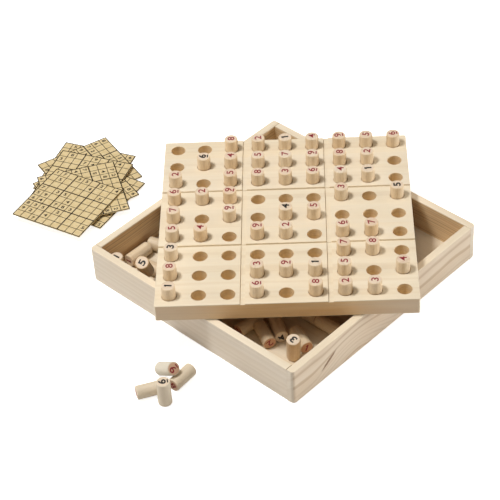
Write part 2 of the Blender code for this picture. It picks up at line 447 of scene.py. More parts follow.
def add_block(name, low, high):
    """A block between two corners, alone in the selection."""
    bpy.ops.object.select_all(action="DESELECT")
    low, high = Vector(low), Vector(high)
    bpy.ops.mesh.primitive_cube_add(size=1, location=(low + high) / 2, scale=high - low)
    block = bpy.context.object
    block.name = name
    bpy.ops.object.transform_apply(location=True, rotation=True, scale=True)
    return block


def pick(shaped, kind, test):
    """In edit mode, selects only the vertices, edges or faces that pass a test."""
    bpy.ops.mesh.select_mode(type=kind)
    bpy.ops.mesh.select_all(action="DESELECT")
    form = bmesh.from_edit_mesh(shaped.data)
    items = {"VERT": form.verts, "EDGE": form.edges, "FACE": form.faces}[kind]
    for item in [item for item in items if test(item)]:
        item.select_set(True)
    bmesh.update_edit_mesh(shaped.data)


def ease(shaped, test, radius, segments):
    """In edit mode, rounds the edges that pass a test."""
    pick(shaped, "EDGE", test)
    bpy.ops.mesh.bevel(offset=radius, segments=segments, affect="EDGES")


def both_ends(edge, test):
    """Whether both ends of an edge lie where a test says."""
    return all(test(vertex.co) for vertex in edge.verts)


def upright(edge):
    """Whether an edge leads upwards."""
    return abs(edge.verts[0].co.z - edge.verts[1].co.z) > touch


print("two places closer than", touch / millimetre, "mm count as one")

# %% [markdown]
# The rest of the helpers work on whole pieces. A modifier is applied at once, so that the next step in edit
# mode finds the shape it left. The large faces set the direction of the shading, so that only the eased
# edges look round. Each copy has a mesh of its own, since it is turned and put in place by its mesh.

# %% Helpers for whole pieces
sharp_degrees = 25


def apply_modifier(shaped, kind, settings):
    """Adds a modifier, sets it and applies it."""
    select_only(shaped)
    modifier = shaped.modifiers.new(kind.lower(), kind)
    for name, value in settings.items():
        setattr(modifier, name, value)
    bpy.ops.object.modifier_apply(modifier=modifier.name)


def cut_away(shaped, cutter, **settings):
    """Cuts one form out of another with a boolean and clears the cutter away."""
    apply_modifier(shaped, "BOOLEAN", {"object": cutter, "operation": "DIFFERENCE", **settings})
    bpy.data.objects.remove(cutter)


def shade_by_angle(shaped):
    """Smooths the shading over every edge that is not sharp."""
    select_only(shaped)
    bpy.ops.object.shade_smooth_by_angle(angle=math.radians(sharp_degrees))


def keep_faces_flat(shaped):
    """Lets the large faces set the normals, so that only the eased edges look round."""
    apply_modifier(shaped, "WEIGHTED_NORMAL", {"keep_sharp": True})


def copy_of(shaped, name):
    """A copy with a mesh of its own."""
    copied = shaped.copy()
    copied.data = shaped.data.copy()
    copied.name = name
    bpy.context.scene.collection.objects.link(copied)
    return copied


def join(first, *others):
    """Joins pieces into the first one."""
    select_only(first, *others)
    bpy.ops.object.join()


print("edges flatter than", sharp_degrees, "degrees are shaded smooth")

# %% [markdown]
# A wall starts as a block. The tray's corners are sanded round after gluing, its rim is eased so that it is
# pleasant to hold, and its lower arris is just broken. So the upright corner is bevelled first, then the rim,
# which follows it round, and then the lower outside edge. The floor's rebate is cut last, as a router would.

# %% Model one wall
wall_names = ("tray_wall_right", "tray_wall_back", "tray_wall_left", "tray_wall_front")
floor_low, floor_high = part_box("tray_floor")
wall_low, wall_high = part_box("tray_wall_right")
tray_half = wall_high.x
wall_thickness = wall_high.x - wall_low.x
inner_half = tray_half - wall_thickness
tray_height = wall_high.z
glue_line = 0.1 * millimetre
corner_round = 3 * millimetre
rim_round = 0.7 * millimetre
arris_round = 0.7 * millimetre


def at_corner(co):
    """On the upright edge at the tray's outer corner."""
    return co.x > tray_half - touch and co.y < -tray_half + touch


def on_rim(co):
    """On the wall's upper face."""
    return co.z > tray_height - touch


def on_lower_outside(co):
    """On the wall's lower face, but for its inner edge."""
    return co.z < touch and co.x > inner_half + touch


first_wall = add_block(
    "wall_form", (inner_half, -tray_half, 0), (tray_half, inner_half - glue_line, tray_height)
)
bpy.ops.object.mode_set(mode="EDIT")
ease(first_wall, lambda edge: both_ends(edge, at_corner), corner_round, 10)
ease(first_wall, lambda edge: both_ends(edge, on_rim), rim_round, 3)
ease(first_wall, lambda edge: both_ends(edge, on_lower_outside), arris_round, 2)
bpy.ops.object.mode_set(mode="OBJECT")

rebate_cutter = add_block(
    "rebate_cutter",
    (floor_low.x - glue_line, floor_low.y - glue_line, -rim_round),
    (floor_high.x + glue_line, floor_high.y + glue_line, floor_high.z + glue_line),
)
cut_away(first_wall, rebate_cutter)
shade_by_angle(first_wall)
keep_faces_flat(first_wall)
print("wall", round(wall_thickness / millimetre, 2), "x", round(tray_height / millimetre, 2), "mm")

# %% [markdown]
# Each plank is cut from another place in the tree, so each has its own heart line and colours. The right one
# carries the mark that the eye goes to, a knot close to the front corner: its rings swing round the knot,
# and a dark resin pocket lies in the swing. The left front one is greyer and quieter. One wood could cover
# all of a wall, but each wall gets four finishes: planed outside, drier and greyer on the sawn end, painted
# darker and warmer inside as painted shade, with more streaks, and sanded and painted lighter on the rim as
# painted light on its upward face.

# %% Choose the looks of the walls
# In the order of the wall names. A heart line is placed by its distance into the tray and its height
wall_looks = (
    {
        "heart_mm": (-30, -34),
        "pale": "#E6D9C6",
        "late": "#CCB89E",
        "warm": "#D9C6AD",
        "patch_mm": (45, 14, 14),
        "patch_strength": 1.2,
        "ring_mm": 4.4,
        "ring_unevenness": 3.4,
        "bend_lengths_mm": (60, 30, 30),
        "ring_strength": 0.4,
        "streak": "#AF926E",
        "streak_mm": 4.2,
        "streak_strength": 0.5,
        "knot_mm": (-36, 0, 0),
        "knot_reach_mm": (50, 34, 40),
        "knot_push_mm": -17,
        "knot_strength": 0.15,
        "pocket": "#7A5430",
        "pocket_mm": (-63.5, 0, 14.5),
        "pocket_reach_mm": (11, 4, 1.7),
        "pocket_turn": math.radians(-33),
    },
    {"heart_mm": (38, -60)},
    {"heart_mm": (-30, -52)},
    {
        "heart_mm": (26, -62),
        "pale": "#E5DED2",
        "late": "#D0C5B2",
        "streak": "#C9BCA6",
        "ring_mm": 4.6,
        "ring_strength": 0.4,
    },
)
# Sawn ends look closed and dull, with narrow arcs
end_grain_tones = {
    "pale": "#E4DBCB",
    "late": "#CDBB9E",
    "warm": "#DACDB8",
    "ring_mm": 2.4,
    "ring_strength": 0.3,
    "streak_strength": 0.1,
}
# The rim is sanded and also painted lighter, as painted light on the wall's upward face: the lightest line of
# the tray
rim_light_tones = {"pale": "#F0E5D0", "late": "#DDCCAC", "warm": "#E8D8BC", "streak_strength": 0.12}
# The inner faces are painted darker and warmer, like dark honey, as painted shade inside the tray, with thin
# brown streaks
inside_shade_tones = {
    "pale": "#F6DEB6",
    "late": "#CFA976",
    "warm": "#E8C596",
    "ring_strength": 0.8,
    "streak": "#A0763F",
    "streak_mm": 1.6,
    "streak_strength": 0.55,
}


print("planks:", len(wall_looks))

# %% [markdown]
# The four finishes meet along the wall's edges, where a real plank turns from face to end grain, and where
# the painted shade of the inside and the painted light of the rim begin. A mask could be painted, but the
# way that a face looks already tells which finish it gets. That choice is made once, on the first wall. Each
# copy then brings its own four materials to the same slots.

# %% Turn and finish the four walls
mostly = 0.7
finish_slots = range(4)
outside_slot, end_slot, inside_slot, rim_slot = finish_slots


def wall_slot(face):
    """Which finish a face of the first wall gets, by the way it looks."""
    if face.normal.y < -mostly:
        return end_slot
    if face.normal.x < -mostly and face.center.z < tray_height - rim_round:
        return inside_slot
    return rim_slot if face.normal.z > mostly else outside_slot


for _ in finish_slots:
    first_wall.data.materials.append(None)
for face in first_wall.data.polygons:
    face.material_index = wall_slot(face)
for index, (name, own_look) in enumerate(zip(wall_names, wall_looks)):
    wall = copy_of(first_wall, name + "_strip")
    quarter = Matrix.Rotation(index * math.radians(90), 4, "Z")
    wall.data.transform(quarter)
    middle = quarter @ Vector((tray_half, 0, 0))
    grain_turn = (0, 0, math.radians(90 * (index + 1)))
    look = {**plank_look, "seed": 11 * index + 3, **own_look}
    # The inner finish carries painted shade and the rim finish carries painted light
    finishes = {
        outside_slot: ("planed_pine_", look),
        end_slot: ("sawn_pine_end_", {**look, **end_grain_tones}),
        inside_slot: ("inner_pine_", {**look, **inside_shade_tones}),
        rim_slot: ("sanded_pine_rim_", {**look, **rim_light_tones}),
    }
    for slot, (finish_name, finish_look) in finishes.items():
        planed, tree, shader = new_material(finish_name + name)
        add_wood(tree, shader, own_frame(tree, middle, grain_turn), finish_look)
        wall.data.materials[slot] = planed
    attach(wall, "tray")
    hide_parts(name)
bpy.data.objects.remove(first_wall)
print("walls:", len(wall_names), "with", len(finishes), "finishes each")

# %% [markdown]
# ## The tray floor
# The floor is a thin sheet of plywood held in a rebate. It is a plain flat panel on the real tray, so the
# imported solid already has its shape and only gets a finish. The face veneer of plywood is peeled off the log
# like paper off a roll, so its rings spread into broad soft figures: the heart lies close under the sheet.

# %% Finish the tray floor
# Peeled birch: wide pale figures with soft edges and hardly any line
veneer_look = {
    **plank_look,
    "seed": 61,
    "heart_mm": (20, -240),
    "ring_mm": 1.6,
    "bend_mm": 16,
    "bend_lengths_mm": (260, 60, 60),
    "ring_strength": 0.30,
    "pale": "#EEE3CE",
    "late": "#DCC7A2",
    "warm": "#E6D5B6",
}
veneer, tree, shader = new_material("birch_plywood_veneer")
add_wood(tree, shader, own_frame(tree, (0, 0, 0), (0, 0, 0)), veneer_look)
tray_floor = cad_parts["tray_floor"]
tray_floor.material_slots[0].material = veneer
print("floor", [round(size / millimetre, 1) for size in floor_high - floor_low])

# %% [markdown]
# ## The drilled board
# The board is glued up from pine strips about as wide as one cell, planed, and drilled with 81 blind
# holes for the pegs. It could be built from a grid of faces with rings for the holes, but it is simpler, and
# truer, to make it as the workshop does: a block with rounded corners first, then one cut after another.

# %% Model the board's block
board_turn = math.radians(42.5)
board_low, board_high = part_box("peg_board")
board_centre = (board_low + board_high) / 2
board_side = 184 * millimetre
board_thickness = 13.8 * millimetre
resting_gap = 0.3 * millimetre
board_base = tray_height + resting_gap
cells = 9
cells_per_box = 3
pitch = board_side / cells
board_corner_round = 1.2 * millimetre
board_edge_round = 0.6 * millimetre

board_place = Matrix.Translation((board_centre.x, board_centre.y, board_base))
board_place = board_place @ Matrix.Rotation(board_turn, 4, "Z")
half = board_side / 2


def on_broad_face(edge):
    """Whether an edge lies in the board's lower or upper face."""
    below = both_ends(edge, lambda co: co.z < touch)
    return below or both_ends(edge, lambda co: co.z > board_thickness - touch)


board = add_block("pine_peg_board", (-half, -half, 0), (half, half, board_thickness))
bpy.ops.object.mode_set(mode="EDIT")
ease(board, upright, board_corner_round, 8)
ease(board, on_broad_face, board_edge_round, 3)
bpy.ops.object.mode_set(mode="OBJECT")
print("board", round(board_side / millimetre, 1), "mm wide, one cell", round(pitch / millimetre, 2), "mm")

# %% [markdown]
# Two shallow channels each way part the nine boxes of the puzzle. A saw with a square tooth leaves a flat
# bottom, and its outer tooth scores one side a little deeper, which draws a fine dark line there. A groove
# could be a painted stripe, but a real cut catches the light on one wall and holds shadow at the other. Each
# cutter is a block whose one lower edge is pulled down for the score, and an array modifier sets the second.

# %% Saw the channels
overrun = 2 * millimetre
channel_width = 3.6 * millimetre
channel_depth = 0.9 * millimetre
score_width = 0.6 * millimetre
score_depth = 0.7 * millimetre


def repeat_along(shaped, axis, step, count):
    """Repeats a form in a row along X or Y with an array modifier."""
    offset = [0, 0, 0]
    offset[axis] = step
    spread = {"count": count, "use_relative_offset": False, "use_constant_offset": True}
    apply_modifier(shaped, "ARRAY", {**spread, "constant_offset_displace": offset})


for axis in (0, 1):
    low = Vector((-half - overrun, -half - overrun, board_thickness - channel_depth))
    high = Vector((half + overrun, half + overrun, board_thickness + overrun))
    low[axis] = (cells_per_box - cells / 2) * pitch - channel_width / 2
    high[axis] = low[axis] + channel_width
    channel = add_block("channel_cutter", low, high)
    scored_side, score_line = low[axis], low[axis] + score_width
    if axis == 1:
        scored_side, score_line = high[axis], high[axis] - score_width
    across = [0, 0, 0]
    across[axis] = 1
    bpy.ops.object.mode_set(mode="EDIT")
    bpy.ops.mesh.select_all(action="SELECT")
    bpy.ops.mesh.bisect(plane_co=[score_line * share for share in across], plane_no=across)
    pick(
        channel,
        "VERT",
        lambda vertex: vertex.co.z < low.z + touch and abs(vertex.co[axis] - scored_side) < touch,
    )
    bpy.ops.transform.translate(value=(0, 0, -score_depth))
    bpy.ops.object.mode_set(mode="OBJECT")
    repeat_along(channel, axis, cells_per_box * pitch, 2)
    cut_away(board, channel)
print("channels", round(channel_depth / millimetre, 1), "mm deep")

# %% [markdown]
# The sockets are blind holes from one drill. Its point leaves a small cone in the middle of the floor, and
# its flutes break the upper rim very slightly. One cylinder takes that shape, with a centre point below and
# a flared top, and two array modifiers step it over the board, as the machine's table would. The cutter
# carries a material of its own, which the boolean hands over to the walls that it leaves.

# %% Drill the sockets
socket_radius = 5.35 * millimetre
socket_depth = 10.5 * millimetre
countersink = 0.1 * millimetre
drill_point_depth = 1.2 * millimetre
drill_facets = 48
# The drill's end face is inset to the foot of its point, and once more to the middle of the point's slope
point_foot_share = 0.78
point_slope_share = 0.08

bpy.ops.object.select_all(action="DESELECT")
drill_length = socket_depth + overrun
first_socket = (-(cells - 1) / 2 * pitch, -(cells - 1) / 2 * pitch)
bpy.ops.mesh.primitive_cylinder_add(
    vertices=drill_facets,
    radius=socket_radius,
    depth=drill_length,
    location=(*first_socket, board_thickness + overrun - drill_length / 2),
)
drill = bpy.context.object
bpy.ops.object.transform_apply(location=True, rotation=True, scale=True)
# The socket walls get a wood of their own, painted browner as painted shade in the holes
drilled, drilled_tree, drilled_shader = new_material("drilled_pine_wall_painted_shade")
drill.data.materials.append(drilled)
bpy.ops.object.mode_set(mode="EDIT")
pick(drill, "FACE", lambda face: face.normal.z < -mostly)
bpy.ops.mesh.inset(thickness=point_foot_share * socket_radius, depth=0)
bpy.ops.mesh.inset(thickness=point_slope_share * socket_radius, depth=0)
bpy.ops.transform.translate(value=(0, 0, -drill_point_depth / 2))
bpy.ops.mesh.merge(type="CENTER")
bpy.ops.transform.translate(value=(0, 0, -drill_point_depth / 2))
bpy.ops.mesh.select_all(action="SELECT")
bpy.ops.mesh.bisect(
    plane_co=(*first_socket, board_thickness - countersink), plane_no=(0, 0, 1), use_fill=False
)
pick(drill, "VERT", lambda vertex: vertex.co.z > board_thickness)
flare = 1 + (countersink + overrun) / socket_radius
bpy.ops.transform.resize(value=(flare, flare, 1), center_override=(*first_socket, 0))
bpy.ops.object.mode_set(mode="OBJECT")
for axis in (0, 1):
    repeat_along(drill, axis, pitch, cells)
glued, glued_tree, glued_shader = new_material("glued_pine_strips")
board.data.materials.append(glued)
cut_away(board, drill, material_mode="TRANSFER")
shade_by_angle(board)
board.data.transform(board_place)
keep_faces_flat(board)
print("sockets:", cells * cells, "board faces:", len(board.data.polygons))

# %% [markdown]
# ## The board's wood
# The strips differ a little in tone, and each shows its own part of a tree. Nine separate blocks could be
# coloured apart, but the board is one piece now. So a step function gives every strip a number, a white
# noise turns that number into a chance shift, and the shift moves the strip's heart line and its tone.
# Inside a socket the wall is painted browner, as painted shade in the hole, and the drill leaves it rougher.

# %% Finish the top and the sockets
strip_width_mm = pitch / millimetre
strip_shift_mm = 60
strip_tone_share = 0.35
light_strip = "#E9DFCD"
# Planed and lacquered: the palest wood of the game, with long quiet grain
board_look = {
    **plank_look,
    "seed": 31,
    "heart_mm": (12, -75),
    "ring_mm": 3.2,
    "bend_mm": 8,
    "bend_lengths_mm": (210, 60, 60),
    "ring_strength": 0.30,
    "pale": "#EEE4CE",
    "late": "#DCC8A2",
    "warm": "#E8D5B4",
    "streak_strength": 0.15,
    "patch_mm": (60, 9, 9),
    "fibre_strength": 0.35,
    "roughness": 0.52,
}
# Socket walls: painted shade, browner with strong brown fibres, and dull from the drill
socket_shade_look = {
    **board_look,
    "ring_strength": 0.5,
    "pale": "#F2E0C0",
    "late": "#D8BA8C",
    "warm": "#E8CC9C",
    "fibre": "#BE9660",
    "fibre_strength": 0.8,
    "roughness": 0.7,
}
board_origin = board_place @ Vector((0, 0, 0))


def add_strips(tree, shader, look, tone_share):
    """Wood of the board, which changes from strip to strip."""
    whole = own_frame(tree, board_origin, (0, 0, board_turn))
    axes = add_node(tree, "ShaderNodeSeparateXYZ", {}, {0: whole})
    width = {0: axes.outputs["Y"], 1: strip_width_mm}
    strips = add_node(tree, "ShaderNodeMath", {"operation": "DIVIDE"}, width)
    strip = add_node(tree, "ShaderNodeMath", {"operation": "ROUND"}, {0: strips})
    draw = add_node(tree, "ShaderNodeTexWhiteNoise", of_one_number, {"W": strip})
    reach = (strip_shift_mm, strip_shift_mm, strip_shift_mm / 3)
    shift = {0: draw.outputs["Color"], 1: reach, 2: whole}
    colour = add_wood(tree, shader, add_node(tree, "ShaderNodeVectorMath", multiply_add, shift), look)
    tone = {0: draw.outputs["Value"], 1: tone_share}
    strip_tone = add_node(tree, "ShaderNodeMath", {"operation": "MULTIPLY"}, tone)
    layer = {"Factor": strip_tone, 6: colour, 7: srgb(light_strip)}
    toned = add_node(tree, "ShaderNodeMix", of_colours, layer).outputs[2]
    tree.links.new(toned, shader.inputs["Base Color"])
    return toned


add_strips(glued_tree, glued_shader, board_look, strip_tone_share)
add_strips(drilled_tree, drilled_shader, socket_shade_look, 0)
print("strips", round(strip_width_mm, 1), "mm wide")

# %% [markdown]
# The board's edges are painted browner than its top, as painted shade on faces that turn from the lamps.
# They are painted greyer toward the corners, as painted light on the ends that stand out past the tray over
# the pale table. A map of that light could be painted. The distance from the middle of the edge says the
# same in one node. The underside is never in view on a table; it is painted a dull brown, as painted shade
# that darkens the gap over the tray.

# %% Finish the edges and the underside
edge_light_mm = (25, 95)
edge_light_share = 0.5
edge_light_grey = "#DCD0C2"
# Planed edge: painted shade, a warm light brown with soft darker patches
edge_shade_look = {
    **board_look,
    "pale": "#EFD5AA",
    "late": "#CDA46E",
    "warm": "#E0B882",
    "patch_mm": (40, 9, 9),
    "patch_strength": 1.2,
    "fibre": "#B08C5C",
    "fibre_strength": 0.6,
}
# Sawn underside: painted shade, a dull brown that darkens the gap over the tray
underside_shade_look = {**edge_shade_look, "pale": "#B98550", "late": "#8F6234", "warm": "#A97543"}
edge_wood, edge_tree, edge_shader = new_material("planed_pine_edge_painted_shade")
board.data.materials.append(edge_wood)
underside_wood, underside_tree, underside_shader = new_material("sawn_pine_underside_painted_shade")
board.data.materials.append(underside_wood)
for face in board.data.polygons:
    middle = board_place.inverted() @ face.center
    outer = max(abs(middle.x), abs(middle.y)) > half - touch
    if face.normal.z < -mostly and face.center.z < board_base + touch:
        face.material_index = board.data.materials.find(underside_wood.name)
    elif outer and abs(face.normal.z) < mostly:
        face.material_index = board.data.materials.find(edge_wood.name)

shaded_edge_colour = add_strips(edge_tree, edge_shader, edge_shade_look, 0)
add_strips(underside_tree, underside_shader, underside_shade_look, 0)
# Painted light: the edge is mixed toward grey with distance from its middle
whole_edge = own_frame(edge_tree, board_origin, (0, 0, board_turn))
along = add_node(edge_tree, "ShaderNodeSeparateXYZ", {}, {0: whole_edge}).outputs["X"]
from_middle = add_node(edge_tree, "ShaderNodeMath", {"operation": "ABSOLUTE"}, {0: along})
limits = {"From Min": edge_light_mm[0], "From Max": edge_light_mm[1], "To Max": edge_light_share}
edge_light = add_node(edge_tree, "ShaderNodeMapRange", soft_ended, {"Value": from_middle, **limits})
layer = {"Factor": edge_light, 6: shaded_edge_colour, 7: srgb(edge_light_grey)}
greyed = add_node(edge_tree, "ShaderNodeMix", of_colours, layer).outputs[2]
edge_tree.links.new(greyed, edge_shader.inputs["Base Color"])
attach(board, "board")
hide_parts("peg_board")
print("board finishes:", [material.name for material in board.data.materials])

# %% [markdown]
# ## The number pegs
# A peg is a birch dowel, sawn to length and tumbled so that its ends lose their sharp edge. One dowel is
# modelled, and each peg is a copy. Every peg lies its own way, so its grain can't come from the scene's
# coordinates, and 81 materials would be a waste. Instead each copy keeps its own place on the dowel in an
# attribute of its mesh, shifted by a chance amount, and the wood reads that. A second attribute holds its
# tone: above nought it is darkened toward brown, and below nought toward grey. On the board's pegs it is
# chance ageing. On the loose pegs it is painted shade: the table pegs' sides go toward grey, and ends that
# face sideways, with the red-topped spares' sides, go toward brown.

# %% Finish the dowels
peg_low, peg_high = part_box("table_peg_standing")
peg_radius = (peg_high.x - peg_low.x) / 2
ink_rise = 0.03 * millimetre
peg_length = peg_high.z - peg_low.z - 2 * ink_rise
grain_attribute = "grain_place"
tone_attribute = "tone"
most_tone = {"red": 0.16, "black": 0.06}
# Painted shade: the table pegs' sides are darkened toward this grey
shade_grey_birch = "#D8D0BE"

# The turned side: smooth, pale, with short brown flecks where the cutter crossed the fibres
dowel_look = {
    **plank_look,
    "seed": 83,
    "heart_mm": (26, -31),
    "ring_mm": 1.7,
    "bend_mm": 4,
    "bend_lengths_mm": (60, 25, 25),
    "ring_strength": 0.45,
    "pale": "#F0E6D0",
    "late": "#D6C098",
    "warm": "#E6C89E",
    "patch_mm": (60, 40, 40),
    "patch_strength": 1.2,
    "fibre": "#A08258",
    "fibre_mm": (3.0, 0.5, 0.5),
    "fibre_strength": 1.1,
    "roughness": 0.5,
    "relief_mm": 0.05,
}
# The sanded end: duller and pinker, with open pores as fine dots
end_look = {
    **dowel_look,
    "pale": "#E8DDCA",
    "late": "#D6C4A8",
    "warm": "#E3CCB2",
    "fibre": "#CDB296",
    "fibre_mm": (0.6, 0.35, 0.35),
    "fibre_strength": 0.6,
    "roughness": 0.6,
}
peg_woods = []
# Each finish's brown is chance ageing on the board's pegs and painted shade on the loose ones
finishes = (("turned_birch_side", dowel_look, "#BFA680"), ("sanded_birch_end", end_look, "#C68E66"))
for name, look, age_and_shade_brown in finishes:
    wood, tree, shader = new_material(name)
    place = add_node(tree, "ShaderNodeAttribute", {"attribute_name": grain_attribute}, {})
    tone = add_node(tree, "ShaderNodeAttribute", {"attribute_name": tone_attribute}, {}).outputs["Fac"]
    colour = add_wood(tree, shader, place.outputs["Vector"], look)
    age_and_shade_mix = {"Factor": tone, 6: colour, 7: srgb(age_and_shade_brown)}
    toned = add_node(tree, "ShaderNodeMix", of_colours, age_and_shade_mix).outputs[2]
    grey_shade_share = add_node(tree, "ShaderNodeMath", multiply_clamped, {0: tone, 1: -1})
    grey_shading = {"Factor": grey_shade_share, 6: toned, 7: srgb(shade_grey_birch)}
    grey_shaded = add_node(tree, "ShaderNodeMix", of_colours, grey_shading).outputs[2]
    tree.links.new(grey_shaded, shader.inputs["Base Color"])
    peg_woods.append(wood)
print("peg finishes:", len(peg_woods))

# %% [markdown]
# A turned dowel is round, so it starts as a cylinder. Its two rims are bevelled in four steps, because the
# light on that soft rim is what shows the tumbling.

# %% Model one dowel
peg_ease = 0.8 * millimetre
peg_facets = 48
end_facing = 0.9

bpy.ops.object.select_all(action="DESELECT")
bpy.ops.mesh.primitive_cylinder_add(vertices=peg_facets, radius=peg_radius, depth=peg_length)
dowel = bpy.context.object
dowel.name = "dowel_form"
bpy.ops.object.mode_set(mode="EDIT")
ease(dowel, lambda edge: not upright(edge), peg_ease, 4)
bpy.ops.object.mode_set(mode="OBJECT")
for wood in peg_woods:
    dowel.data.materials.append(wood)
for face in dowel.data.polygons:
    face.material_index = int(abs(face.normal.z) > end_facing)
shade_by_angle(dowel)
keep_faces_flat(dowel)
print("dowel", round(2 * peg_radius / millimetre, 2), "x", round(peg_length / millimetre, 2), "mm")

# %% [markdown]
# ## The printed numbers
# Both ends of a peg are pad-printed, red for an answer and black for a given number. They could be a
# picture on the end face, but a shape stays sharp at any size. So each number is a text object with a film's
# thickness that is made a mesh, and the ink is a material with thin spots, where the wood shows through.

# %% Helpers for ink and text
thin_spot = 0.6 * millimetre
thin_range = (0.5, 0.75)
thin_most = 0.6
ink_roughness = 0.6


def printing_ink(name, colour, thin_colour):
    """Pad-printing ink: matt, and a little thin where the wood's pores drank it."""
    ink, tree, shader = new_material(name)
    source = add_node(tree, "ShaderNodeTexCoord", {}, {})
    spots = {"Vector": source.outputs["Object"], "Scale": 1 / thin_spot, "Detail": 3}
    speckle = add_node(tree, "ShaderNodeTexNoise", {}, spots)
    limits = {"From Min": thin_range[0], "From Max": thin_range[1], "To Max": thin_most}
    thin = add_node(tree, "ShaderNodeMapRange", {}, {"Value": speckle, **limits})
    layer = {"Factor": thin, 6: srgb(colour), 7: srgb(thin_colour)}
    mixed = add_node(tree, "ShaderNodeMix", of_colours, layer).outputs[2]
    tree.links.new(mixed, shader.inputs["Base Color"])
    shader.inputs["Roughness"].default_value = ink_roughness
    return ink


def add_text(body, size, thickness, boldness):
    """A word as a flat film on the plane z = 0, centred, alone in the selection."""
    bpy.ops.object.select_all(action="DESELECT")
    bpy.ops.object.text_add()
    text = bpy.context.object
    text.data.body = body
    text.data.size = size
    text.data.extrude = thickness / 2
    text.data.offset = boldness
    text.data.resolution_u = 4
    bpy.ops.object.convert(target="MESH")
    written = bpy.context.object
    corners = [Vector(corner) for corner in written.bound_box]
    middle = sum(corners, Vector()) / 8
    written.data.transform(Matrix.Translation((-middle.x, -middle.y, thickness / 2)))
    return written


inks = {
    "red": printing_ink("red_printing_ink", "#8C242E", "#A84A4C"),
    "black": printing_ink("black_printing_ink", "#171413", "#3E342E"),
}
print("inks:", ", ".join(inks))

# %% [markdown]
# The letter is plain and wide. The one has a slanted flag, and a bar under the six and the nine tells them
# apart. Blender's own letter lacks both, so they are small blocks joined to the figure. The black ink is
# laid on thicker than the red. Each number is made once for each ink and copied onto the pegs later.

# %% Print the numbers
number_height = 5.2 * millimetre
number_widening = 1.28
# A figure of the built-in letter is this share of its size in height
figure_share = 0.73
ink_boldness = {"red": 0.11 * millimetre, "black": 0.23 * millimetre}
bar_length = 3.2 * millimetre
bar_width = 0.9 * millimetre
bar_gap = 0.6 * millimetre
flag_length = 1.5 * millimetre
flag_slant = math.radians(35)


def add_flag(number):
    """The slanted stroke at the head of a one."""
    head = number.dimensions.y / 2
    flag = add_block("flag", (-flag_length, head - bar_width, 0), (0, head, ink_rise))
    corner = Matrix.Translation((0, head - bar_width / 2, 0))
    flag.data.transform(corner @ Matrix.Rotation(flag_slant, 4, "Z") @ corner.inverted())
    join(number, flag)


def add_bar(number):
    """The bar under a six or a nine, after which the whole is centred again."""
    bar_top = -number.dimensions.y / 2 - bar_gap
    bar = add_block("bar", (-bar_length / 2, bar_top - bar_width, 0), (bar_length / 2, bar_top, ink_rise))
    join(number, bar)
    number.data.transform(Matrix.Translation((0, (bar_gap + bar_width) / 2, 0)))


numbers = {}
for colour, ink in inks.items():
    for figure in range(1, cells + 1):
        number = add_text(str(figure), number_height / figure_share, ink_rise, ink_boldness[colour])
        number.data.transform(Matrix.Diagonal((number_widening, 1, 1, 1)))
        if figure == 1:
            add_flag(number)
        if figure in (6, 9):
            add_bar(number)
        number.name = f"{colour}_{figure}_form"
        number.data.materials.clear()
        number.data.materials.append(ink)
        numbers[colour, figure] = number
print("numbers:", len(numbers), "highest", round(numbers["red", 8].dimensions.y / millimetre, 2), "mm")

# %% [markdown]
# ## Setting out the pegs
# No two pegs are alike: each is cut from another place in its dowel, aged a little more or less, and the
# printer never hits the same angle twice. Instances would save room, but each peg needs its own grain and
# its own body. So a peg is joined from a copy of the dowel, a top number and a bottom number. A seeded
# chance gives it its grain, its tone and the turns of its numbers, and one matrix puts it in place.

# %% Make a peg
chance = random.Random(9)
number_wobble = math.radians(9)
grain_spread_mm = 400
grain_narrowing = 20


def make_peg(name, place, top, bottom, tones=None):
    """A peg at a place, from the (ink, number) of each end and the tones of its side and its ends."""
    peg = copy_of(dowel, name)
    along = Matrix.Rotation(math.radians(-90), 4, "Y")
    shift = Vector([chance.uniform(-grain_spread_mm, grain_spread_mm) for _ in range(3)])
    shift = Vector((shift.x, shift.y / grain_narrowing, shift.z / grain_narrowing))
    spin = Matrix.Rotation(chance.uniform(0, math.tau), 4, "Z")
    side_tone, end_tone = tones or [chance.uniform(0, most_tone[top[0]])] * 2
    tone = peg.data.attributes.new(tone_attribute, "FLOAT", "POINT")
    for vertex, value in zip(peg.data.vertices, tone.data):
        value.value = end_tone if abs(vertex.co.z) > peg_length / 2 - touch else side_tone
    grain = peg.data.attributes.new(grain_attribute, "FLOAT_VECTOR", "POINT")
    for vertex, value in zip(peg.data.vertices, grain.data):
        value.vector = along @ spin @ vertex.co / millimetre + shift
    prints = []
    for (colour, figure), turned in ((top, 0), (bottom, math.radians(180))):
        printed = copy_of(numbers[colour, figure], "printed_number")
        wobble = Matrix.Rotation(chance.uniform(-number_wobble, number_wobble), 4, "Z")
        face = Matrix.Translation((0, 0, peg_length / 2)) @ wobble
        printed.data.transform(Matrix.Rotation(turned, 4, "X") @ face)
        prints.append(printed)
    join(peg, *prints)
    peg.data.transform(place)
    return peg


print("a number may be turned by", round(math.degrees(number_wobble)), "degrees")

# %% [markdown]
# In the board, the pegs stand where the photograph shows them, each on its socket's floor, with every number
# turned a quarter to the left and a little play to one side. The rows are written as text, so that they read
# like the puzzle. The eight given numbers stay put through a game. They belong to the board's solid, and
# are joined into one piece that rides with it.

# %% Set out the pegs of the board
number_rows = (
    "..8214956",
    ".6457982.",
    "2.583641.",
    "629...3.5",
    "7.9.45...",
    "54.92.67.",
    "3.....78.",
    "8..3915.4",
    "1..6.823.",
)
number_turn = math.radians(90)
peg_play = 0.1 * millimetre


def on_board(row, column):
    """A peg's place in the board's socket, with its number turned as in the photograph."""
    middle = (cells - 1) / 2
    foot = board_place @ Vector(((column - middle) * pitch, (middle - row) * pitch, 0))
    foot.x -= peg_play
    height = board_base + board_thickness - socket_depth + resting_gap + peg_length / 2 + ink_rise
    turned = Matrix.Rotation(board_turn + number_turn, 4, "Z")
    return Matrix.Translation((foot.x, foot.y, height)) @ turned


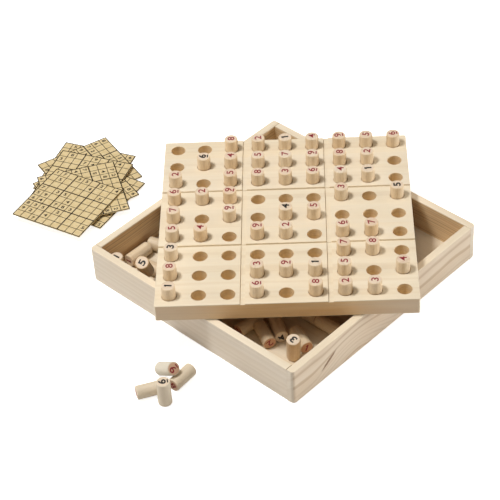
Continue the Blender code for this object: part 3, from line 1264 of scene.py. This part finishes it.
given_pegs = []
for row, line in enumerate(number_rows):
    for column, mark in enumerate(line):
        if mark == ".":
            continue
        node = f"board_peg_r{row + 1}_c{column + 1}"
        figure = int(mark)
        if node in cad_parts:
            peg = make_peg("red_" + node, on_board(row, column), ("red", figure), ("black", figure))
            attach(peg, node)
            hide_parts(node)
        else:
            peg = make_peg("given_peg", on_board(row, column), ("black", figure), ("red", figure))
            given_pegs.append(peg)
print("given pegs:", len(given_pegs))

join(*given_pegs)
given = given_pegs[0]
given.name = "black_given_pegs"
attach(given, "board")
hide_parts("peg_board")

# %% [markdown]
# The four pegs on the table stand, lie and lean. Their middles come from the imported solids. Their
# headings are the ones that the solids were laid out with. Their sides are painted darker and greyer than
# those on the board, most on the leaning one, and their ends that face sideways are painted browner, as
# painted shade, so their tones are given one by one.

# %% Set out the pegs on the table


def lying(middle, heading, tilt, spin):
    """The place of a peg that points along a heading with its far end raised, rolled about its axis."""
    turned = Matrix.Rotation(heading, 4, "Z") @ Matrix.Rotation(math.radians(90) - tilt, 4, "Y")
    return Matrix.Translation(middle) @ turned @ Matrix.Rotation(spin, 4, "Z")


def middle_of(node):
    """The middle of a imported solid's box."""
    low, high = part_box(node)
    return (low + high) / 2


leaning_heading = math.radians(-84.8 + 90 - 12)
# The tones of side and ends here are painted shade, set by how each peg faces the lamps
table_pegs = {
    "table_peg_standing": (
        Matrix.Translation(middle_of("table_peg_standing")) @ Matrix.Rotation(math.radians(140), 4, "Z"),
        ("black", 6),
        ("red", 6),
        (-0.7, -0.1),
    ),
    "table_peg_near": (
        lying(middle_of("table_peg_near"), math.radians(60), 0, 0),
        ("black", 2),
        ("red", 2),
        (-0.6, 0.2),
    ),
    "table_peg_far": (
        lying(middle_of("table_peg_far"), math.radians(-84.8), 0, math.radians(30)),
        ("red", 8),
        ("black", 8),
        (-0.5, 0.5),
    ),
    "table_peg_leaning": (
        lying(middle_of("table_peg_leaning"), leaning_heading, math.radians(36), math.radians(-175)),
        ("red", 9),
        ("black", 9),
        (-1.0, 0.6),
    ),
}
for node, (place, top, bottom, tones) in table_pegs.items():
    peg = make_peg("loose_" + node, place, top, bottom, tones)
    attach(peg, node)
    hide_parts(node)
print("table pegs:", len(table_pegs))

# %% [markdown]
# The rest of the set waits in the tray: of 81 pegs, 50 are in the board and 4 on the table, so 27 lie
# here. Those in view lie, stand and lean as photographed. The ones under the board are strewn on the floor
# by a seeded chance, which is tried again wherever a peg would touch one that is already there. They could
# be dropped with a physics run, but that would not land the seen ones where they lie. Nothing fixes them, so
# they ride on the tray as one piece.

# %% Place the spare pegs in view
# Painted shade: the red-topped spares get browner sides and ends
spare_shade_tones = {"red": (0.3, 0.8), "black": (0.1, 0)}
# Middle X and Y in mm, heading and tilt in degrees, lift off the floor in mm, spin, number and ink on top
seen_spares = (
    (28.0, -67.5, -96, 0, 0, 0, 7, "red"),
    (43.6, -67.9, -26, 0, 0, -60, 2, "red"),
    (46.4, -56.9, -33, 0, 0, -40, 4, "black"),
    (72.4, -69.3, -40, 79, 0, 225, 3, "black"),
    (66.2, -55.2, -22, 0, 0, 60, 1, "red"),
    (72.5, -32.4, 1, 0, 0, 0, 5, "black"),
    (51.7, -32.6, 2, 0, 0, 30, 6, "red"),
    (-86.8, -65.5, 90, 0, 0, 0, 1, "black"),
    (-59.1, -83.9, -60, 60, 9.5, 160, 5, "black"),
    (-70.7, -70.2, 8.5, 0, 0, 0, 8, "black"),
    (-84.2, -88.9, 0, 90, 0, 100, 1, "black"),
    (-80.2, -48.3, 195, 0, 0, 30, 1, "red"),
    (-57.0, -85.5, 4, 0, 0, 0, 3, "red"),
)
print("spare pegs in view:", len(seen_spares))

# %% [markdown]
# A peg's middle lies its own radius over the floor, or higher when it is tilted. Two pegs touch where points
# along their axes come closer than one thickness, which is a quick test and a safe one.

# %% Strew the pegs under the board
strewn_region_mm = ((-70, 70), (-46, 70))
strewn_limit_mm = 82
room_between_mm = 0.4
tray_floor_top = floor_high.z
set_of_pegs = cells * cells


def spare_peg(x_mm, y_mm, heading, tilt, lift_mm, spin, figure, colour):
    """A peg at rest on the floor, or lifted onto others, with its far end raised by a tilt."""
    other = "black" if colour == "red" else "red"
    heading, tilt, spin = math.radians(heading), math.radians(tilt), math.radians(spin)
    half_length = peg_length / 2 + ink_rise
    rest = half_length * math.sin(tilt) + peg_radius * math.cos(tilt)
    middle = Vector((x_mm, y_mm, lift_mm)) * millimetre + Vector((0, 0, tray_floor_top + rest))
    place = lying(middle, heading, tilt, spin)
    return make_peg("spare_peg", place, (colour, figure), (other, figure), spare_shade_tones[colour])


def axis_points(x_mm, y_mm, heading, tilt):
    """Points along a peg's axis as seen from above, in millimetres."""
    reach = peg_length / 2 / millimetre * math.cos(math.radians(tilt))
    along = Vector((math.cos(math.radians(heading)), math.sin(math.radians(heading)))) * reach
    return [Vector((x_mm, y_mm)) + along * (step / 4) for step in range(-4, 5)]


taken = [point for settings in seen_spares for point in axis_points(*settings[:4])]
least_mm = 2 * peg_radius / millimetre + room_between_mm
strewn_spares = []
board_pegs = sum(cells - line.count(".") for line in number_rows)
spare_count = set_of_pegs - board_pegs - len(table_pegs)
while len(seen_spares) + len(strewn_spares) < spare_count:
    over = [chance.uniform(*limits) * millimetre for limits in strewn_region_mm]
    spot = (board_place @ Vector((*over, 0))) / millimetre
    heading = chance.uniform(-180, 180)
    points = axis_points(spot.x, spot.y, heading, 0)
    if max(abs(value) for point in points for value in point) > strewn_limit_mm:
        continue
    if min((point - other).length for point in points for other in taken) < least_mm:
        continue
    taken.extend(points)
    look = (chance.uniform(0, 360), chance.randint(1, cells), chance.choice(("red", "black")))
    strewn_spares.append((spot.x, spot.y, heading, 0, 0, *look))

spare_pegs = [spare_peg(*settings) for settings in (*seen_spares, *strewn_spares)]
join(*spare_pegs)
spare = spare_pegs[0]
spare.name = "spare_pegs_in_tray"
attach(spare, "tray")
for form in (dowel, *numbers.values()):
    bpy.data.objects.remove(form)
print("spare pegs:", len(seen_spares), "seen and", len(strewn_spares), "strewn")

# %% [markdown]
# ## The puzzle cards
# Each card is a square of stiff buff board, die-cut with barely rounded corners. A plane would look the same
# from above, but the fan shows the cards' edges, so each has its true thickness. Its colour is clouded by a
# fine noise, since the pulp of cheap board is never even.

# %% Model the blank card
card_low, card_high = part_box("puzzle_card_1")
card_side = 62 * millimetre
card_thickness = card_high.z - card_low.z
print_rise = 0.04 * millimetre
print_top = card_thickness - 2 * print_rise
card_corner_round = 0.5 * millimetre
pulp_fleck = 2.5 * millimetre
pulp_range = (0.35, 0.65)
card_roughness = 0.75

card_form = add_block(
    "card_form", (-card_side / 2, -card_side / 2, 0), (card_side / 2, card_side / 2, print_top)
)
bpy.ops.object.mode_set(mode="EDIT")
ease(card_form, upright, card_corner_round, 3)
bpy.ops.object.mode_set(mode="OBJECT")

# Recycled board: matt and straw-coloured, with faint clouds of pulp
buff, tree, shader = new_material("buff_card_board")
source = add_node(tree, "ShaderNodeTexCoord", {}, {})
flecks = {"Vector": source.outputs["Object"], "Scale": 1 / pulp_fleck, "Detail": 4}
pulp = add_node(tree, "ShaderNodeTexNoise", {}, flecks)
limits = {"Value": pulp, "From Min": pulp_range[0], "From Max": pulp_range[1]}
pulp_share = add_node(tree, "ShaderNodeMapRange", {}, limits)
clouds = {"Factor": pulp_share, 6: srgb("#E2CFA2"), 7: srgb("#D7C18F")}
buff_mix = add_node(tree, "ShaderNodeMix", of_colours, clouds).outputs[2]
tree.links.new(buff_mix, shader.inputs["Base Color"])
shader.inputs["Roughness"].default_value = card_roughness
card_form.data.materials.append(buff)
print("card", round(card_side / millimetre, 1), "x", round(card_thickness / millimetre, 2), "mm")

# %% [markdown]
# A puzzle is printed to the card's very edge: a thin grid, heavier lines round each box of nine cells, and
# small dark numbers. An image would do, but lines that are shapes stay crisp close up. The grids are cut
# from a plane as a lattice: a grid of cells is inset cell by cell and the middles are taken out, which
# leaves lines of one width.

# %% Print the lines and the small numbers
thin_line = 0.52 * millimetre
thick_line = 0.95 * millimetre
border_line = 0.7 * millimetre
heavy_rise = 1.5 * print_rise
card_figure_height = 3.1 * millimetre
card_figure_boldness = 0.1 * millimetre


def add_lattice(name, squares, line_width, low, rise):
    """Lines round every square of a grid as wide as the card, as a thin film."""
    bpy.ops.object.select_all(action="DESELECT")
    bpy.ops.mesh.primitive_grid_add(
        x_subdivisions=squares, y_subdivisions=squares, size=card_side - 2 * touch, location=(0, 0, low)
    )
    lattice = bpy.context.object
    lattice.name = name
    bpy.ops.object.transform_apply(location=True, rotation=True, scale=True)
    bpy.ops.object.mode_set(mode="EDIT")
    bpy.ops.mesh.select_all(action="SELECT")
    bpy.ops.mesh.inset(thickness=line_width / 2, use_individual=True)
    bpy.ops.mesh.delete(type="FACE")
    bpy.ops.mesh.select_all(action="SELECT")
    bpy.ops.mesh.extrude_region_move(TRANSFORM_OT_translate={"value": (0, 0, rise)})
    bpy.ops.mesh.select_all(action="SELECT")
    bpy.ops.mesh.normals_make_consistent(inside=False)
    bpy.ops.object.mode_set(mode="OBJECT")
    return lattice


lattices = (
    add_lattice("thin_lattice", cells, thin_line, print_top, print_rise),
    add_lattice("thick_lattice", cells // cells_per_box, thick_line, print_top, heavy_rise),
    add_lattice("border", 1, 2 * border_line, print_top, heavy_rise),
)
small_figures = {}
on_card = Matrix.Translation((0, 0, print_top)) @ Matrix.Diagonal((number_widening, 1, 1, 1))
for figure in range(1, cells + 1):
    written = add_text(str(figure), card_figure_height / figure_share, print_rise, card_figure_boldness)
    written.data.transform(on_card)
    small_figures[figure] = written
brown = printing_ink("brown_printing_ink", "#1A0F07", "#33230F")
for printed in (*lattices, *small_figures.values()):
    printed.data.materials.clear()
    printed.data.materials.append(brown)
print("lattices:", len(lattices), "small numbers:", len(small_figures))

# %% [markdown]
# The seven cards lie in a fan, one on the other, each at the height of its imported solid. The puzzles are
# made up: a solved one is built from a stepped pattern whose numbers are swapped about by chance, and most
# of its numbers are then left out, as a printed puzzle does.

# %% Lay out the fan of cards
card_turns = (22.5, -15.2, 11.7, -14.3, 22.5, -31.7, 13.8)
shown_share = 0.42
card_pitch = card_side / cells


def solved(row, column, swaps):
    """A number of a solved puzzle: a stepped pattern whose numbers are swapped about."""
    return swaps[(cells_per_box * (row % cells_per_box) + row // cells_per_box + column) % cells]


for index, turn in enumerate(card_turns):
    node = f"puzzle_card_{index + 1}"
    swaps = chance.sample(range(1, cells + 1), cells)
    layers = [copy_of(form, "layer") for form in (card_form, *lattices)]
    for row in range(cells):
        for column in range(cells):
            if chance.random() > shown_share:
                continue
            written = copy_of(small_figures[solved(row, column, swaps)], "layer")
            middle = (cells - 1) / 2
            place = Matrix.Translation(((column - middle) * card_pitch, (middle - row) * card_pitch, 0))
            written.data.transform(place)
            layers.append(written)
    join(*layers)
    card = layers[0]
    card.name = "printed_" + node
    low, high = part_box(node)
    middle = (low + high) / 2
    turned = Matrix.Rotation(math.radians(turn), 4, "Z")
    card.data.transform(Matrix.Translation((middle.x, middle.y, low.z)) @ turned)
    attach(card, node)
    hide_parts(node)
for form in (card_form, *lattices, *small_figures.values()):
    bpy.data.objects.remove(form)
print("cards:", len(card_turns))
